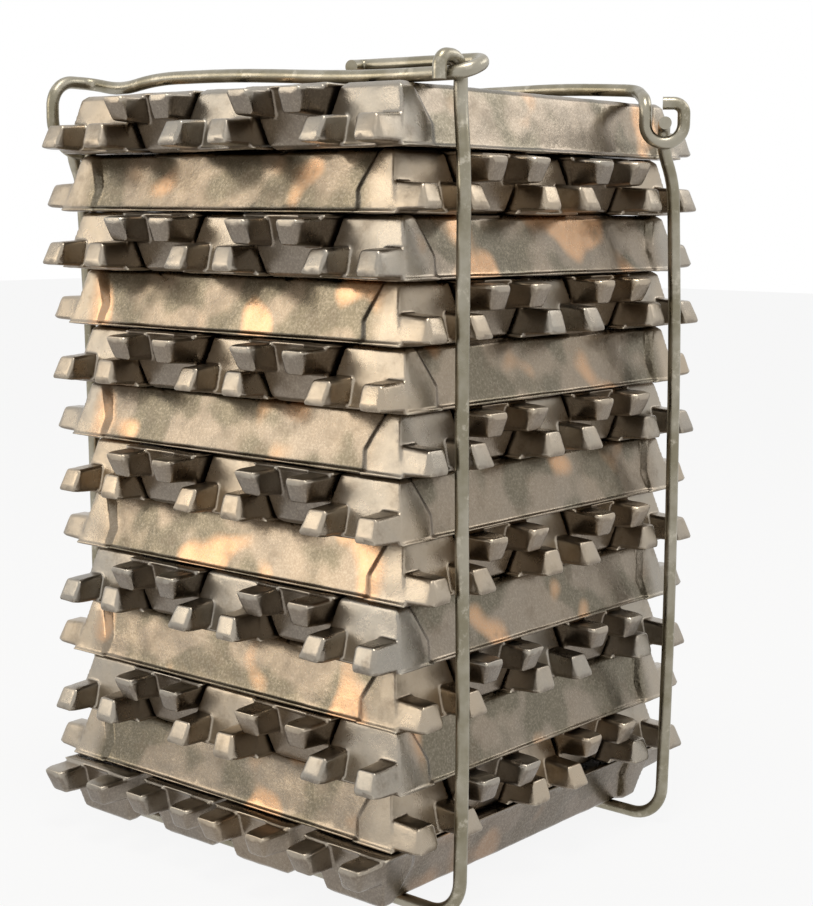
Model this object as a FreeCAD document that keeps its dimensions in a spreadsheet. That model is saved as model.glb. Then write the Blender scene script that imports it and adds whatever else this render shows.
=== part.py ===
import FreeCAD, Part

import math
import os

import Sketcher

# A wire-tied bundle of cast aluminium ingots, in millimetres, +Z up.  The origin is on the floor,
# under the middle of the bundle.  Thirteen crossed layers of ingots stand on two steel wire ties.
# An ingot is a tapered bar with a wide open-cast face, a narrow mould face, a straight-sided head at
# each end and two lugs on each head.  Odd layers, counted from the top, run along Y and show their
# ends on the -Y side; even layers run along X and show their ends on the +X side.

SIZES = {
    # one ingot
    "base_width": 102,
    "top_width": 70,
    "ingot_height": 58.7,
    "body_length": 456,
    "end_lean": 14,
    "flank_base": 95,
    "flank_top": 56,
    "brim_height": 4,
    "brim_inset": 3,
    "crown_round": 4,
    "head_base": 40,
    "head_waist": 22,
    "head_top": 14,
    "head_blend": 7,
    "lug_width": 31,
    "lug_bottom": 3,
    "lug_top": 30,
    "lug_reach": 32,
    "lug_root": 12,
    "lug_edge": 2.5,
    "tip_width": 30,
    "tip_side": 2,
    "tip_bottom": 4,
    "tip_top": 28,
    "tip_nose": 7,
    "tip_draft": 16,
    # the stack
    "pitch": 89,
    "stack_slide": 6,
    "cross_slide": 2,
    "shift_x": 10,
    "shift_y": 6,
    "loose_scatter": 5,
    "tied_scatter": 2,
    "bottom_start": -186,
    "gap_left": 17,
    "gap_middle": 9,
    "gap_right": 25,
    # the ties
    "tie_diameter": 13,
    "tie_gap": 0.3,
    "tie_flat": 0.4,
    "side_bend": 36,
}

LAYERS = 13
SLOTS = 5
BOTTOM_SLOTS = 4
ALUMINIUM_KG_PER_MM3 = 2.7e-6

doc = FreeCAD.newDocument("IngotBundle")
sheet = doc.addObject("Spreadsheet::Sheet", "Sizes")
for row, (alias, value) in enumerate(SIZES.items(), start=1):
    sheet.set(f"A{row}", alias)
    sheet.set(f"B{row}", str(value))
    sheet.setAlias(f"B{row}", alias)
doc.recompute()


def size(alias):
    """Give one driving dimension as the sheet holds it."""
    return float(sheet.get(alias))


def in_sheet(expression):
    """Point each sheet name in an expression at the sheet."""
    words = sorted(SIZES, key=len, reverse=True)
    for number, alias in enumerate(words):
        expression = expression.replace(alias, f"<{number}>")
    for number, alias in enumerate(words):
        expression = expression.replace(f"<{number}>", f"Sizes.{alias}")
    return expression


def origin_plane(body, role):
    return next(plane for plane in body.Origin.OriginFeatures if plane.Role == role)


def add_outline(body, name, role, offset, corners):
    """Draw a closed outline whose corners are expressions, at an offset from an origin plane."""
    sketch = body.newObject("Sketcher::SketchObject", name)
    sketch.AttachmentSupport = [(origin_plane(body, role), "")]
    sketch.MapMode = "FlatFace"
    sketch.setExpression("AttachmentOffset.Base.z", in_sheet(offset))
    formulas = [(in_sheet(across), in_sheet(along)) for across, along in corners]
    points = []
    for across, along in formulas:
        points.append(FreeCAD.Vector(sketch.evalExpression(across), sketch.evalExpression(along), 0))
    for index, point in enumerate(points):
        sketch.addGeometry(Part.LineSegment(point, points[(index + 1) % len(points)]), False)
    for index in range(len(points)):
        following = (index + 1) % len(points)
        sketch.addConstraint(Sketcher.Constraint("Coincident", index, 2, following, 1))
    for index, point in enumerate(points):
        for kind, reach, formula in zip(("DistanceX", "DistanceY"), point, formulas[index]):
            add_distance(sketch, kind, index, reach, formula)
    return sketch


def add_distance(sketch, kind, corner, reach, formula):
    """Hold one corner of an outline at a bound distance from the sketch origin."""
    if reach < 0:
        number = sketch.addConstraint(Sketcher.Constraint(kind, corner, 1, -1, 1, -reach))
        sketch.setExpression(f"Constraints[{number}]", f"-({formula})")
    else:
        number = sketch.addConstraint(Sketcher.Constraint(kind, -1, 1, corner, 1, reach))
        sketch.setExpression(f"Constraints[{number}]", formula)


def add_loft(body, name, outlines):
    loft = body.newObject("PartDesign::AdditiveLoft", name)
    loft.Profile = outlines[0]
    loft.Sections = outlines[1:]
    loft.Ruled = True
    return loft


# Heights at which the ingot's sides change slope, and how far its rounded edges draw in there.
LEVELS = [
    ("0", "brim_inset"),
    ("brim_height", "0"),
    ("head_waist", "0"),
    ("(ingot_height - crown_round)", "0"),
    ("ingot_height", "crown_round"),
]


def half_width(base, top, height, inset):
    """Half of a width that tapers evenly from base to top, less the inset."""
    return f"({base} / 2 - ({base} - {top}) / 2 * {height} / ingot_height - ({inset}))"


def add_flanks(body):
    """The bar between the heads, with a brim round the open face and a rounded mould face."""
    outlines = []
    reach = "(body_length / 2 - end_lean - crown_round - 3)"
    for number, (height, inset) in enumerate(LEVELS):
        side = half_width("flank_base", "flank_top", height, inset)
        corners = [(f"-{side}", f"-{reach}"), (side, f"-{reach}"), (side, reach), (f"-{side}", reach)]
        outlines.append(add_outline(body, f"FlankOutline{number}", "XY_Plane", height, corners))
    return add_loft(body, "Flanks", outlines)


def add_head(body, name, end):
    """The straight-sided block at one end: full depth up to its waist, then shorter to the top."""
    outlines = []
    for number, (height, inset) in enumerate(LEVELS):
        side = half_width("base_width", "top_width", height, inset)
        neck = half_width("flank_base", "flank_top", height, f"{inset} - 0.5")
        face = f"(body_length / 2 - end_lean * {height} / ingot_height)"
        rise = f"max(0; ({height} - head_waist) / (ingot_height - head_waist))"
        depth = f"(head_base - (head_base - head_top) * {rise})"
        outer = f"{end} * ({face} - {inset})"
        shoulder = f"{end} * ({face} - {depth})"
        inner = f"{end} * ({face} - {depth} - head_blend)"
        corners = [
            (f"-{side}", outer),
            (side, outer),
            (side, shoulder),
            (neck, inner),
            (f"-{neck}", inner),
            (f"-{side}", shoulder),
        ]
        outlines.append(add_outline(body, f"{name}Outline{number}", "XY_Plane", height, corners))
    return add_loft(body, name, outlines)


def lug_section(inner, draw_in, low, high, cut):
    """A lug's section from low to high, with its outer side along the head's and its corners cut off."""
    outer_low = half_width("base_width", "top_width", low, draw_in)
    outer_high = half_width("base_width", "top_width", high, draw_in)
    return [
        (f"{inner} + {cut}", low),
        (f"{outer_low} - {cut}", low),
        (outer_low, f"{low} + {cut}"),
        (outer_high, f"{high} - {cut}"),
        (f"{outer_high} - {cut}", high),
        (f"{inner} + {cut}", high),
        (inner, f"{high} - {cut}"),
        (inner, f"{low} + {cut}"),
    ]


def add_lug(body, name, end, side):
    """One drafted lug: full size at its root inside the head, smaller at its sloping nose."""
    root_inner = "(base_width / 2 - lug_width)"
    tip_inner = "(base_width / 2 - tip_side - tip_width)"
    nose = "body_length / 2 + lug_reach"
    stations = [
        ("body_length / 2 - lug_root", root_inner, "tip_side / 4", "lug_bottom", "lug_top"),
        (f"{nose} - tip_nose", tip_inner, "tip_side / 2", "tip_bottom", "tip_top"),
        (nose, f"({tip_inner} + tip_side)", "tip_side * 1.5", "(tip_bottom + 1)", "(tip_top - tip_draft)"),
    ]
    outlines = []
    for number, (station, inner, draw_in, low, high) in enumerate(stations):
        corners = lug_section(inner, draw_in, low, high, "lug_edge")
        corners = [(f"{side} * ({across})", along) for across, along in corners]
        outlines.append(
            add_outline(body, f"{name}Outline{number}", "XZ_Plane", f"{-end} * ({station})", corners)
        )
    return add_loft(body, name, outlines)


def make_ingot():
    """The pattern ingot: along Y, open face down on Z = 0, centred on the origin."""
    body = doc.addObject("PartDesign::Body", "Ingot")
    add_flanks(body)
    for end, end_name in ((-1, "Near"), (1, "Far")):
        add_head(body, f"{end_name}Head", end)
        for side, side_name in ((-1, "Left"), (1, "Right")):
            add_lug(body, f"{end_name}{side_name}Lug", end, side)
    doc.recompute()
    return body


def stack_slide(layer):
    """How far a layer has slid along X: the stack leans out a little below its middle."""
    return f"stack_slide * sin(180 deg * ({layer} - 3) / 8)"


def scatter(layer, slot):
    """How far an ingot has slipped along its own length."""
    reach = "loose_scatter" if layer % 2 else "tied_scatter"
    return f"{reach} * sin(137 deg * (5 * {layer} + {slot}))"


def place_ingot(ingot, layer, slot, across, inverted):
    """Put one copy of the ingot in its layer, with its open face down or, inverted, up.

    The layers along X sit back from the middle: towards -X by shift_x and towards +Y by shift_y.
    """
    link = doc.addObject("App::Link", f"Ingot{layer:02d}_{slot}")
    link.LinkedObject = ingot
    turned = FreeCAD.Rotation(FreeCAD.Vector(0, 1, 0), 180 if inverted else 0)
    height = f"tie_diameter - tie_flat + tie_gap + ingot_height * {LAYERS - layer + inverted}"
    slide = stack_slide(layer)
    along = scatter(layer, slot)
    drift = f"cross_slide * sin(101 deg * {layer})"
    if layer % 2:
        place_x = f"{across} + {slide}"
        place_y = f"{along} + {drift}"
    else:
        turned = FreeCAD.Rotation(FreeCAD.Vector(0, 0, 1), -90).multiply(turned)
        place_x = f"{along} + {slide} - shift_x"
        place_y = f"{across} + {drift} + shift_y"
    link.Placement = FreeCAD.Placement(FreeCAD.Vector(), turned)
    link.setExpression("Placement.Base.x", in_sheet(place_x))
    link.setExpression("Placement.Base.y", in_sheet(place_y))
    link.setExpression("Placement.Base.z", in_sheet(height))
    return link


def make_layer(ingot, layer):
    """Five ingots nested side by side, open face down and up in turn."""
    links = []
    for slot in range(SLOTS):
        across = f"pitch * {slot - (SLOTS - 1) // 2}"
        links.append(place_ingot(ingot, layer, slot, across, slot % 2))
    return links


def make_bottom_layer(ingot):
    """Four ingots, all with the open face up, with uneven gaps between them."""
    links = []
    across = "bottom_start"
    gaps = ["gap_left", "gap_middle", "gap_right"]
    for slot in range(BOTTOM_SLOTS):
        links.append(place_ingot(ingot, LAYERS, slot, across, 1))
        if slot < len(gaps):
            across = f"{across} + base_width + {gaps[slot]}"
    return links


def rounded_path(corners, radius):
    """Straight runs through the corners, joined by tangent arcs no tighter than they need be."""
    edges = []
    start = corners[0]
    for before, corner, after in zip(corners, corners[1:], corners[2:]):
        back = before - corner
        ahead = after - corner
        half_turn = (math.pi - back.getAngle(ahead)) / 2
        setback = radius(half_turn, min(back.Length, ahead.Length)) * math.tan(half_turn)
        back.normalize()
        ahead.normalize()
        bisector = back + ahead
        bisector.normalize()
        bend = setback / math.tan(half_turn)
        entry = corner + back * setback
        leave = corner + ahead * setback
        middle = corner + bisector * (bend / math.cos(half_turn) - bend)
        if (entry - start).Length > 0.01:
            edges.append(Part.LineSegment(start, entry).toShape())
        edges.append(Part.Arc(entry, middle, leave).toShape())
        start = leave
    if (corners[-1] - start).Length > 0.01:
        edges.append(Part.LineSegment(start, corners[-1]).toShape())
    return Part.Wire(edges)


def make_tie(name, corners, bends):
    """One steel wire, a round bar swept along its route; bends maps corner numbers to bend radii.

    The ties go with the layers along X, so the whole route moves by shift_y.
    """
    points = [FreeCAD.Vector(*corner) + FreeCAD.Vector(0, size("shift_y"), 0) for corner in corners]
    wire_radius = size("tie_diameter") / 2
    numbers = iter(range(1, len(points) - 1))

    def bend_radius(half_turn, run):
        widest = 0.49 * run / math.tan(half_turn)
        return min(bends.get(next(numbers), widest), widest)

    path = rounded_path(points, bend_radius)
    start = path.OrderedEdges[0]
    circle = Part.Circle(points[0], start.tangentAt(start.FirstParameter), wire_radius)
    bar = path.makePipeShell([Part.Wire(circle.toShape())], True, True)
    tie = doc.addObject("Part::Feature", name)
    tie.Shape = bar
    expected = math.pi * wire_radius**2 * path.Length
    print(f"{name}: length {path.Length:.0f}, volume {bar.Volume:.0f} of {expected:.0f}")
    if abs(bar.Volume - expected) > 0.01 * expected:
        raise RuntimeError(f"{name} is not a clean bar")
    return tie


def flatten_underside(tie):
    """Press the flat on which the bundle's weight stands: cut off what reaches below the floor."""
    floor = doc.addObject("Part::Box", f"Floor_{tie.Name}")
    floor.Length, floor.Width, floor.Height = 800, 800, 20
    floor.Placement.Base = FreeCAD.Vector(-400, -400, -20)
    flattened = doc.addObject("Part::Cut", f"Flat_{tie.Name}")
    flattened.Base = tie
    flattened.Tool = floor
    return flattened


def tie_routes():
    """Corners of the four tie wires and, by corner number, the radius of each formed bend."""
    side = 2 * size("pitch")
    radius = size("tie_diameter") / 2
    floor_run = radius - size("tie_flat")
    top = floor_run + radius + size("tie_gap") + LAYERS * size("ingot_height")
    run = top + radius + size("tie_gap")
    corner = size("side_bend")
    hook = 15
    ring = 37
    eye = 17
    curl = 20
    # Front top wire: a long flat eye over the +X corner, a bowed run, and a big upright ring at -X.
    front_top = [
        (104, -side + 14, run + 12),
        (100, -side + 34, run + 14),
        (251, -side + 34, run + 13),
        (251, -side, run),
        (130, -side, run),
        (-40, -side, run + 10),
        (-150, -side, run + 11),
        (-208, -side, run + 2),
        (-254, -side, run + 10),
        (-254, -231, run + 10),
        (-254, -231, run - 64),
        (-254, -157, run - 64),
        (-254, -157, run - 20),
    ]
    front_top_bends = {1: 9, 2: eye - 0.5, 3: eye - 1, 8: 16, 9: ring - 1, 10: ring - 0.5, 11: ring - 1}
    # Front lower wire: hooked over the ring, down the -X side, under the bundle, up to the eye.
    front_lower = [
        (-240, -194, run - 74),
        (-240, -194, run - 49),
        (-268, -194, run - 49),
        (-268, -194, 715),
        (-266, -185, 690),
        (-262, -180, 560),
        (-258, -side, 300),
        (-256, -side, floor_run),
        (256, -side, floor_run),
        (258, -side, 190),
        (252, -side, 420),
        (252, -side - 1, 700),
        (234, -side + hook, 762),
        (234, -side + hook, run + hook),
        (234, -side - hook, run + hook),
        (234, -side - hook, run - 6),
    ]
    front_lower_bends = {1: 13.9, 2: 13.9, 7: corner, 8: corner, 13: hook - 0.1, 14: hook - 0.1}
    # Rear top wire: an upright ring at -X and a nearly closed curl hanging beside the +X face.
    rear_top = [
        (-254, 157, run - 20),
        (-254, 157, run - 64),
        (-254, 231, run - 64),
        (-254, 231, run + 10),
        (-254, side, run + 10),
        (-200, side, run + 2),
        (-60, side, run + 10),
        (110, side, run + 11),
        (200, side, run + 6),
        (236, 139, run - 8),
        (236, 139, run - 50),
        (268, 161, run - 50),
        (268, 161, run - 10),
        (250, 149, run - 10),
    ]
    rear_top_bends = {1: ring - 1, 2: ring - 0.5, 3: ring - 1, 4: 16}
    rear_top_bends.update({8: 34, 9: curl, 10: curl - 1, 11: curl - 1, 12: 17})
    # Rear lower wire: hooked over the ring, under the bundle, and up through the curl.
    rear_lower = [
        (-240, 194, run - 74),
        (-240, 194, run - 49),
        (-268, 194, run - 49),
        (-268, 194, 715),
        (-266, 185, 690),
        (-260, side, 500),
        (-256, side, floor_run),
        (254, side, floor_run),
        (258, side, 230),
        (255, side - 1, 540),
        (251, 172, 692),
        (244, 162, 726),
        (244, 162, run - 30),
        (256, 145, run - 30),
    ]
    rear_lower_bends = {1: 13.9, 2: 13.9, 6: corner, 7: corner, 12: 13}
    return {
        "front_tie_top": (front_top, front_top_bends),
        "front_tie_lower": (front_lower, front_lower_bends),
        "rear_tie_top": (rear_top, rear_top_bends),
        "rear_tie_lower": (rear_lower, rear_lower_bends),
    }


def check_states():
    """Stop if any object of the document failed to compute."""
    for thing in doc.Objects:
        if "Invalid" in thing.State or "Error" in thing.State:
            raise RuntimeError(f"{thing.Name} failed: {thing.State}")


def export(thing, node):
    """Write one node as STEP after checking its shape."""
    shape = thing.Shape
    if shape.isNull() or not shape.isValid():
        raise RuntimeError(f"{node} has no valid shape")
    shape.exportStep(os.path.join("parts", f"{node}.step"))


os.makedirs("parts", exist_ok=True)
ingot = make_ingot()
weight = ingot.Shape.Volume * ALUMINIUM_KG_PER_MM3
print(f"one ingot: {ingot.Shape.Volume:.0f} cubic mm, {weight:.2f} kg, {len(ingot.Shape.Faces)} faces")

nodes = {}
for layer in range(1, LAYERS + 1):
    node = f"ingot_layer_{layer:02d}"
    compound = doc.addObject("Part::Compound", f"IngotLayer{layer:02d}")
    compound.Label = node
    compound.Links = make_layer(ingot, layer) if layer < LAYERS else make_bottom_layer(ingot)
    nodes[node] = compound

for node, (corners, bends) in tie_routes().items():
    tie = make_tie(f"Wire_{node}", corners, bends)
    if node.endswith("lower"):
        tie = flatten_underside(tie)
    tie.Label = node
    nodes[node] = tie

doc.recompute()
check_states()
for node, thing in nodes.items():
    export(thing, node)
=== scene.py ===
import itertools
import math
import random

import bmesh
import bpy
import numpy as np
from mathutils import Matrix, Vector, noise


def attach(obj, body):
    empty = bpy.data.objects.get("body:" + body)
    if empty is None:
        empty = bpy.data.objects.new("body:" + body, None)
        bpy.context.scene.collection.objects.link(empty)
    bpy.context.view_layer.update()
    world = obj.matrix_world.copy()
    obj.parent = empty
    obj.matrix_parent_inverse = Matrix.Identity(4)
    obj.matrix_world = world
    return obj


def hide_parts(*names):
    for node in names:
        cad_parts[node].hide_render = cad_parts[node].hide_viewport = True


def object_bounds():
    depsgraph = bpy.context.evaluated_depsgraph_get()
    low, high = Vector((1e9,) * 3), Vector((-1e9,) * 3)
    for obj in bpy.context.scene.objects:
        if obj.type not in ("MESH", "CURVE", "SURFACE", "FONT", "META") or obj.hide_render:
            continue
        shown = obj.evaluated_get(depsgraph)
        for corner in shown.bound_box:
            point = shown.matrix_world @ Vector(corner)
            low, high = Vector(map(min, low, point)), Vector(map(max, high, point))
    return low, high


# A wire-tied bundle of cast aluminium ingots, in metres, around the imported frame.

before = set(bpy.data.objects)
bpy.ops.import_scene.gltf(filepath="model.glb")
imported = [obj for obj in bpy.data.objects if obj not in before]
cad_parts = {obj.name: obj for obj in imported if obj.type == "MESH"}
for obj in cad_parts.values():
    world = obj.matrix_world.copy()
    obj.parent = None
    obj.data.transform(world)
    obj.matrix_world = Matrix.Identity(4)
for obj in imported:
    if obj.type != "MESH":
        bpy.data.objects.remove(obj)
cad_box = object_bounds()

BODY = "root"
MM = 0.001
LAYER_NODES = sorted(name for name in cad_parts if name.startswith("ingot_layer_"))
TIE_NODES = sorted(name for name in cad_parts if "_tie_" in name)

VOXEL = 1.3 * MM
ROUNDING = 5
VARIANTS = 4
TRIANGLES_PER_INGOT = 13500
random.seed(7)

# The thin rim around the open face: half widths and half lengths from the ingot's middle.
RIM_LOW, RIM_HIGH = 0.8 * MM, 3.6 * MM
BAR_RIM_WIDTH, BAR_RIM_LENGTH = 0.0495, 0.200
HEAD_RIM_WIDTH, HEAD_RIM_START, HEAD_RIM_END = 0.0522, 0.180, 0.2295

# The cast skin, in millimetres deep: waves, dents and pits, each with its fineness, and the sunken face.
RELIEF = ((14, 0.9), (55, 0.35), (170, 0.06))
FACE_SINK = 2.2
FACE_SIDE_FADE, FACE_END_FADE, FACE_END_MARGIN = 24 * MM, 40 * MM, 30 * MM

HEAD_START, HEAD_FADE = 185 * MM, 20 * MM
LOOSE_DEGREES = 0.12

FLOOR_REACH = 12.0
FLOOR_GAP = 0.0002
FLOOR_GLOW = 0.9
ROOM_STRENGTH = 0.4


# ---------------------------------------------------------------- meshes


def modified_copy(obj, name):
    """The mesh of an object with its modifiers applied, as new mesh data."""
    graph = bpy.context.evaluated_depsgraph_get()
    mesh = bpy.data.meshes.new_from_object(obj.evaluated_get(graph))
    mesh.name = name
    return mesh


def solids_of(node):
    """The separate closed solids of a CAD node, each as an array of corner points and its faces."""
    mesh = bmesh.new()
    mesh.from_mesh(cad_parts[node].data)
    bmesh.ops.remove_doubles(mesh, verts=mesh.verts, dist=1e-6)
    mesh.verts.index_update()
    unseen = set(mesh.verts)
    solids = []
    while unseen:
        stack = [next(iter(unseen))]
        found = set(stack)
        while stack:
            for edge in stack.pop().link_edges:
                for vert in edge.verts:
                    if vert not in found:
                        found.add(vert)
                        stack.append(vert)
        unseen -= found
        ordered = sorted(found, key=lambda vert: vert.index)
        number = {vert: index for index, vert in enumerate(ordered)}
        faces = {face for vert in ordered for face in vert.link_faces}
        faces = sorted(([number[vert] for vert in face.verts] for face in faces))
        solids.append((np.array([vert.co[:] for vert in ordered]), faces))
    mesh.free()
    return sorted(solids, key=lambda solid: tuple(solid[0].min(0)))


def pose_of(points):
    """Where a solid lies: its middle, its lowest and highest level, its direction and which way up."""
    low, high = points.min(0), points.max(0)
    middle = (low + high) / 2
    along_y = high[1] - low[1] > high[0] - low[0]
    axis = 1 if along_y else 0
    below = points[points[:, 2] < middle[2]]
    above = points[points[:, 2] >= middle[2]]
    inverted = np.ptp(above[:, axis]) > np.ptp(below[:, axis])
    return middle, low[2], high[2], along_y, inverted


def add_box(mesh, low, high):
    """One plain box from its low to its high corner."""
    spans = zip(low, high)
    corners = [mesh.verts.new(corner) for corner in itertools.product(*spans)]
    bmesh.ops.convex_hull(mesh, input=corners)


def rough_casting(points, faces):
    """The ingot's plain solid and its thin rim at the origin, along Y with the open face down."""
    middle, bottom, top, along_y, inverted = pose_of(points)
    assert along_y and not inverted
    data = bpy.data.meshes.new("plain_ingot")
    data.from_pydata((points - np.array([middle[0], middle[1], bottom])).tolist(), [], faces)
    mesh = bmesh.new()
    mesh.from_mesh(data)
    add_box(mesh, (-BAR_RIM_WIDTH, -BAR_RIM_LENGTH, RIM_LOW), (BAR_RIM_WIDTH, BAR_RIM_LENGTH, RIM_HIGH))
    for end in (-1, 1):
        near, far = sorted((end * HEAD_RIM_START, end * HEAD_RIM_END))
        add_box(mesh, (-HEAD_RIM_WIDTH, near, RIM_LOW), (HEAD_RIM_WIDTH, far, RIM_HIGH))
    mesh.to_mesh(data)
    mesh.free()
    return data, top - bottom


def cast_surface(mesh, height, seed):
    """Waves and dents of a casting, and the sunken, wrinkled skin of its open face."""
    count = len(mesh.vertices)
    places = np.empty(3 * count, np.float32)
    normals = np.empty(3 * count, np.float32)
    mesh.vertices.foreach_get("co", places)
    mesh.vertex_normals.foreach_get("vector", normals)
    places = places.reshape(count, 3)
    normals = normals.reshape(count, 3)
    shift = Vector((seed * 3.1, seed * 1.7, seed * 2.3))
    half = np.abs(places).max(0)
    moves = np.empty(count)
    for index, corner in enumerate(places.tolist()):
        place = Vector(corner)
        moves[index] = sum(noise.noise(place * fineness + shift) * depth for fineness, depth in RELIEF) * MM
    points = places + normals * moves[:, None]
    inset = np.minimum(
        (half[0] * 0.95 - np.abs(places[:, 0])) / FACE_SIDE_FADE,
        (half[1] - FACE_END_MARGIN - np.abs(places[:, 1])) / FACE_END_FADE,
    )
    skin = (normals[:, 2] < -0.7) & (places[:, 2] < 0.3 * height)
    points[:, 2] += np.where(skin, np.clip(inset, 0, 1) * FACE_SINK * MM, 0)
    mesh.vertices.foreach_set("co", points.astype(np.float32).ravel())
    mesh.update()


def casting(plain, height, seed):
    """One ingot with rounded edges and a cast surface, thinned to its share of the triangles."""
    obj = bpy.data.objects.new("casting", plain.copy())
    bpy.context.scene.collection.objects.link(obj)
    remesh = obj.modifiers.new("skin", "REMESH")
    remesh.mode = "VOXEL"
    remesh.voxel_size = VOXEL
    smooth = obj.modifiers.new("round", "SMOOTH")
    smooth.factor = 0.5
    smooth.iterations = ROUNDING
    dense = modified_copy(obj, f"dense_{seed}")
    obj.modifiers.clear()
    obj.data = dense
    cast_surface(dense, height, seed)
    thin = obj.modifiers.new("thin", "DECIMATE")
    thin.ratio = TRIANGLES_PER_INGOT / (2 * len(dense.polygons))
    mesh = modified_copy(obj, f"ingot_{seed}")
    mesh.shade_smooth()
    bpy.data.objects.remove(obj)
    return mesh


def placed(variant, pose):
    """One casting's points, laid where the CAD has that ingot, and how much each is on a head."""
    middle, bottom, top, along_y, inverted = pose
    shape = np.array([vert.co[:] for vert in variant.vertices])
    turn = Matrix.Identity(3)
    if random.random() < 0.5:
        turn = Matrix.Rotation(math.pi, 3, "Z") @ turn
    if inverted:
        turn = Matrix.Rotation(math.pi, 3, "Y") @ turn
    if not along_y:
        turn = Matrix.Rotation(-math.pi / 2, 3, "Z") @ turn
    turn = Matrix.Rotation(math.radians(random.uniform(-LOOSE_DEGREES, LOOSE_DEGREES)), 3, "Z") @ turn
    points = shape @ np.array(turn).T
    level = top if inverted else bottom
    head = np.clip((np.abs(shape[:, 1]) - HEAD_START) / HEAD_FADE, 0, 1)
    return points + np.array([middle[0], middle[1], level]), head


def layer_piece(node, variants, material, number):
    """All ingots of one layer as one piece, with a tint for each ingot."""
    all_points, all_faces, tints, heads = [], [], [], []
    start = 0
    for slot, (points, _) in enumerate(solids_of(node)):
        variant = variants[(number * 3 + slot) % len(variants)]
        where, head = placed(variant, pose_of(points))
        tint = random.random()
        all_points.append(where)
        all_faces += [[start + index for index in face.vertices] for face in variant.polygons]
        tints += [tint] * len(where)
        heads += head.tolist()
        start += len(where)
    mesh = bpy.data.meshes.new(f"castings_{number:02d}")
    mesh.from_pydata(np.vstack(all_points).tolist(), [], all_faces)
    for name, values in (("tint", tints), ("head", heads)):
        mesh.attributes.new(name, "FLOAT", "POINT").data.foreach_set("value", np.array(values, np.float32))
    mesh.shade_smooth()
    mesh.materials.append(material)
    piece = bpy.data.objects.new(f"castings_{number:02d}", mesh)
    bpy.context.scene.collection.objects.link(piece)
    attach(piece, BODY)
    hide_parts(node)


# ---------------------------------------------------------------- materials


class Nodes:
    """Short calls for building one node tree."""

    def __init__(self, name):
        self.material = bpy.data.materials.new(name)
        self.material.use_nodes = True
        self.tree = self.material.node_tree
        self.shader = self.tree.nodes["Principled BSDF"]
        self.place = self.add("ShaderNodeTexCoord").outputs["Object"]

    def add(self, kind, **settings):
        node = self.tree.nodes.new(kind)
        for key, value in settings.items():
            setattr(node, key, value)
        return node

    def link(self, output, socket):
        self.tree.links.new(output, socket)

    def noise(self, scale, detail, roughness):
        node = self.add("ShaderNodeTexNoise")
        node.inputs["Scale"].default_value = scale
        node.inputs["Detail"].default_value = detail
        node.inputs["Roughness"].default_value = roughness
        self.link(self.place, node.inputs["Vector"])
        return node.outputs["Fac"]

    def band(self, value, low, high, to_low=0.0, to_high=1.0):
        node = self.add("ShaderNodeMapRange", interpolation_type="SMOOTHSTEP")
        limits = {"From Min": low, "From Max": high, "To Min": to_low, "To Max": to_high}
        for name, number in limits.items():
            node.inputs[name].default_value = number
        self.link(value, node.inputs["Value"])
        return node.outputs["Result"]

    def mix(self, factor, first, second):
        node = self.add("ShaderNodeMix", data_type="RGBA")
        self.link(factor, node.inputs["Factor"])
        for socket, value in (("A", first), ("B", second)):
            target = next(i for i in node.inputs if i.name == socket and i.type == "RGBA")
            if isinstance(value, tuple):
                target.default_value = (*value, 1.0)
            else:
                self.link(value, target)
        return next(o for o in node.outputs if o.type == "RGBA")

    def math(self, operation, first, second):
        node = self.add("ShaderNodeMath", operation=operation)
        for socket, value in zip(node.inputs, (first, second)):
            if isinstance(value, (int, float)):
                socket.default_value = value
            else:
                self.link(value, socket)
        return node.outputs["Value"]

    def bump(self, heights):
        """Chain bumps of (height, distance in metres, strength)."""
        before = None
        for height, distance, strength in heights:
            node = self.add("ShaderNodeBump")
            node.inputs["Distance"].default_value = distance
            node.inputs["Strength"].default_value = strength
            self.link(height, node.inputs["Height"])
            if before:
                self.link(before, node.inputs["Normal"])
            before = node.outputs["Normal"]
        self.link(before, self.shader.inputs["Normal"])


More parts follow.
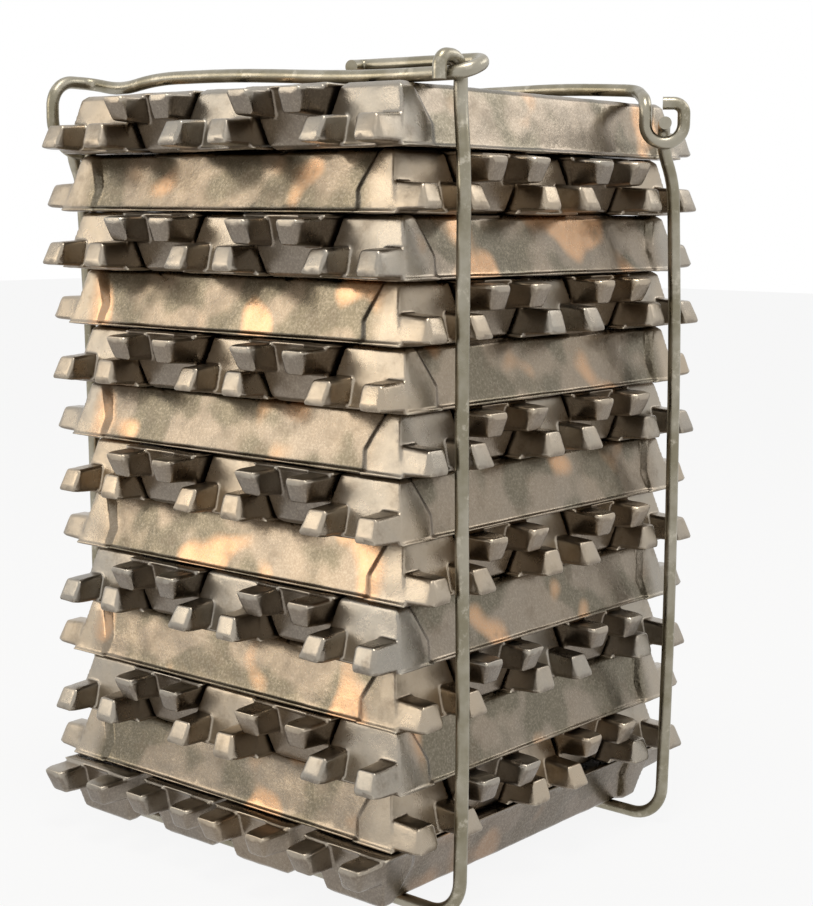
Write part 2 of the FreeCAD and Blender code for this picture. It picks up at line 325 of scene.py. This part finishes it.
def cast_aluminium():
    """Satin cast aluminium: mottled, sandy heads, the bar painted darker with painted lug shadows and
    painted reflections, painted shade on faces turned down, painted highlights on the edges.
    """
    grey, tan, brown = (0.32, 0.295, 0.255), (0.44, 0.36, 0.265), (0.20, 0.155, 0.11)
    olive, painted_reflection_orange, stain = (0.10, 0.092, 0.062), (0.60, 0.36, 0.20), (0.16, 0.125, 0.088)
    painted_underside_shade, grain, painted_edge_highlight = (0.11, 0.082, 0.062), (0.46, 0.40, 0.32), (0.88, 0.79, 0.62)
    n = Nodes("cast_aluminium")
    tint = n.add("ShaderNodeAttribute", attribute_name="tint").outputs["Fac"]
    head = n.add("ShaderNodeAttribute", attribute_name="head").outputs["Fac"]
    bar = n.math("SUBTRACT", 1.0, head)
    mood = n.math("ADD", n.math("MULTIPLY", tint, 0.3), n.math("MULTIPLY", n.noise(9.0, 4.0, 0.6), 0.85))
    metal = n.mix(n.band(mood, 0.3, 0.85), grey, tan)
    # The bar between the heads is painted darker brown than the heads: painted shade for its dark
    # reflections.
    metal = n.mix(n.math("MULTIPLY", bar, 0.65), metal, brown)
    # Dark olive patches on the bar are painted shadows of the lugs above; the orange patches are painted
    # reflections of lit lugs.
    painted_lug_shadow_patches = n.math("MULTIPLY", n.band(n.noise(17.0, 1.5, 0.5), 0.46, 0.58, 0.0, 0.7), bar)
    metal = n.mix(painted_lug_shadow_patches, metal, olive)
    painted_reflection_patches = n.math("MULTIPLY", n.band(n.noise(13.0, 1.0, 0.5), 0.58, 0.68, 0.0, 0.85), bar)
    metal = n.mix(painted_reflection_patches, metal, painted_reflection_orange)
    metal = n.mix(n.band(n.noise(30.0, 5.0, 0.65), 0.54, 0.72, 0.0, 0.5), metal, stain)
    surface = n.add("ShaderNodeNewGeometry")
    split = n.add("ShaderNodeSeparateXYZ")
    n.link(surface.outputs["Normal"], split.inputs["Vector"])
    # Faces turned down are painted darker brown: painted shade.
    metal = n.mix(n.band(split.outputs["Z"], -0.14, 0.06, 0.62, 0.0), metal, painted_underside_shade)
    metal = n.mix(n.band(n.noise(420.0, 3.0, 0.7), 0.4, 0.75, 0.0, 0.35), metal, grain)
    # Sharp convex edges, found by pointiness, are painted pale cream: painted highlights.
    metal = n.mix(n.band(surface.outputs["Pointiness"], 0.53, 0.62, 0.0, 0.85), metal, painted_edge_highlight)
    n.link(metal, n.shader.inputs["Base Color"])
    n.shader.inputs["Metallic"].default_value = 1.0
    patchy = n.band(n.noise(30.0, 4.0, 0.6), 0.3, 0.7, 0.20, 0.31)
    sandy = n.math("MULTIPLY", head, 0.05)
    n.link(n.math("ADD", patchy, sandy), n.shader.inputs["Roughness"])
    n.bump([
        (n.noise(45.0, 3.0, 0.5), 0.0009, 0.35),
        (n.noise(260.0, 4.0, 0.65), 0.0003, 0.45),
        (n.math("MULTIPLY", n.noise(620.0, 3.0, 0.7), n.math("ADD", head, 0.35)), 0.0002, 0.5),
    ])
    return n.material


def tie_wire():
    """Drawn steel rod with a dull olive scale, brighter where it has rubbed."""
    dark_scale, pale_scale, rubbed = (0.24, 0.215, 0.15), (0.38, 0.35, 0.28), (0.60, 0.55, 0.45)
    n = Nodes("tie_wire")
    metal = n.mix(n.band(n.noise(16.0, 5.0, 0.6), 0.35, 0.65), dark_scale, pale_scale)
    metal = n.mix(n.band(n.noise(60.0, 4.0, 0.7), 0.55, 0.7, 0.0, 0.6), metal, rubbed)
    n.link(metal, n.shader.inputs["Base Color"])
    n.shader.inputs["Metallic"].default_value = 1.0
    n.link(n.band(n.noise(40.0, 4.0, 0.6), 0.3, 0.7, 0.24, 0.42), n.shader.inputs["Roughness"])
    n.bump([(n.noise(70.0, 3.0, 0.6), 0.0006, 0.4), (n.noise(300.0, 3.0, 0.6), 0.0002, 0.5)])
    return n.material


# ---------------------------------------------------------------- studio


def seen_rays(tree):
    """1 for what the camera sees, directly, in the metal or through something clear."""
    path = tree.nodes.new("ShaderNodeLightPath")
    total = path.outputs["Is Camera Ray"]
    for kind in ("Is Glossy Ray", "Is Transmission Ray"):
        add = tree.nodes.new("ShaderNodeMath")
        add.operation = "MAXIMUM"
        tree.links.new(total, add.inputs[0])
        tree.links.new(path.outputs[kind], add.inputs[1])
        total = add.outputs[0]
    return total


def pale_floor():
    """A wide matt floor that stays near white to the camera and keeps the bundle's shadow."""
    mesh = bpy.data.meshes.new("floor")
    corners = [(x * FLOOR_REACH, y * FLOOR_REACH, 0) for x, y in ((-1, -1), (1, -1), (1, 1), (-1, 1))]
    mesh.from_pydata(corners, [], [(0, 1, 2, 3)])
    floor = bpy.data.objects.new("floor", mesh)
    bpy.context.scene.collection.objects.link(floor)
    floor.location.z = cad_box[0][2] - FLOOR_GAP
    material = bpy.data.materials.new("pale_floor")
    material.use_nodes = True
    tree = material.node_tree
    shader = tree.nodes["Principled BSDF"]
    shader.inputs["Base Color"].default_value = (0.86, 0.85, 0.83, 1)
    shader.inputs["Roughness"].default_value = 0.8
    glow = tree.nodes.new("ShaderNodeEmission")
    glow.inputs["Color"].default_value = (1, 1, 1, 1)
    blend = tree.nodes.new("ShaderNodeMixShader")
    share = tree.nodes.new("ShaderNodeMath")
    share.operation = "MULTIPLY"
    share.inputs[1].default_value = FLOOR_GLOW
    tree.links.new(seen_rays(tree), share.inputs[0])
    tree.links.new(share.outputs[0], blend.inputs["Fac"])
    tree.links.new(shader.outputs[0], blend.inputs[1])
    tree.links.new(glow.outputs[0], blend.inputs[2])
    tree.links.new(blend.outputs[0], tree.nodes["Material Output"].inputs["Surface"])
    mesh.materials.append(material)


def studio_world():
    """White to the camera and in the metal; its soft light, for matt things, is bright at the left."""
    world = bpy.data.worlds.new("studio")
    bpy.context.scene.world = world
    world.use_nodes = True
    tree = world.node_tree
    tree.nodes.clear()
    output = tree.nodes.new("ShaderNodeOutputWorld")
    place = tree.nodes.new("ShaderNodeTexCoord")
    towards = tree.nodes.new("ShaderNodeVectorMath")
    towards.operation = "DOT_PRODUCT"
    towards.inputs[1].default_value = Vector((-0.75, -0.45, 0.5)).normalized()
    tree.links.new(place.outputs["Generated"], towards.inputs[0])
    ramp = tree.nodes.new("ShaderNodeValToRGB")
    shift = tree.nodes.new("ShaderNodeMapRange")
    shift.inputs["From Min"].default_value = -1.0
    tree.links.new(towards.outputs["Value"], shift.inputs["Value"])
    tree.links.new(shift.outputs[0], ramp.inputs["Fac"])
    steps = ramp.color_ramp.elements
    steps[0].position, steps[0].color = 0.0, (0.22, 0.23, 0.25, 1)
    steps[1].position, steps[1].color = 1.0, (1.0, 0.97, 0.93, 1)
    middle = steps.new(0.55)
    middle.color = (0.42, 0.42, 0.42, 1)
    room = tree.nodes.new("ShaderNodeBackground")
    room.inputs["Strength"].default_value = ROOM_STRENGTH
    tree.links.new(ramp.outputs["Color"], room.inputs["Color"])
    white = tree.nodes.new("ShaderNodeBackground")
    white.inputs["Color"].default_value = (1, 1, 1, 1)
    blend = tree.nodes.new("ShaderNodeMixShader")
    tree.links.new(seen_rays(tree), blend.inputs["Fac"])
    tree.links.new(room.outputs[0], blend.inputs[1])
    tree.links.new(white.outputs[0], blend.inputs[2])
    tree.links.new(blend.outputs[0], output.inputs["Surface"])


def softbox(name, place, target, width, height, power, colour=(1, 1, 1)):
    light = bpy.data.lights.new(name, "AREA")
    light.shape = "RECTANGLE"
    light.size = width
    light.size_y = height
    light.energy = power
    light.color = colour
    lamp = bpy.data.objects.new(name, light)
    bpy.context.scene.collection.objects.link(lamp)
    lamp.location = place
    lamp.rotation_euler = (Vector(target) - Vector(place)).to_track_quat("-Z", "Y").to_euler()


def photo_camera():
    """A little below the bundle's top, looking slightly down at the corner between -Y and +X."""
    data = bpy.data.cameras.new("camera")
    data.lens = 68.13
    data.sensor_width = 36.0
    camera = bpy.data.objects.new("camera", data)
    bpy.context.scene.collection.objects.link(camera)
    yaw, pitch, roll = math.radians(40.154), math.radians(-8.005), math.radians(0.442)
    turn = (
        Matrix.Rotation(yaw, 4, "Z")
        @ Matrix.Rotation(math.pi / 2 + pitch, 4, "X")
        @ Matrix.Rotation(roll, 4, "Z")
    )
    camera.matrix_world = Matrix.Translation((1.202, -1.375, 0.661)) @ turn
    bpy.context.scene.camera = camera


def studio():
    middle = (0, 0, 0.4)
    pale_floor()
    studio_world()
    softbox("key", (-2.0, -2.45, 1.55), middle, 1.5, 1.5, 16, (1.0, 0.90, 0.76))
    softbox("right", (1.3, 1.9, 2.2), (0.2, 0, 0.8), 1.3, 1.0, 9, (1.0, 0.98, 0.95))
    softbox("top", (0.6, -0.6, 3.2), middle, 1.0, 1.0, 30, (1.0, 0.97, 0.92))
    photo_camera()
    bpy.context.scene.view_settings.view_transform = "Standard"


# ---------------------------------------------------------------- build

aluminium = cast_aluminium()
wire_steel = tie_wire()

pattern_points, pattern_faces = solids_of(LAYER_NODES[0])[0]
plain_ingot, ingot_height = rough_casting(pattern_points, pattern_faces)
variants = [casting(plain_ingot, ingot_height, seed) for seed in range(1, VARIANTS + 1)]
for number, node in enumerate(LAYER_NODES, start=1):
    layer_piece(node, variants, aluminium, number)

for node in TIE_NODES:
    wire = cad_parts[node]
    wire.data.materials.clear()
    wire.data.materials.append(wire_steel)

studio()
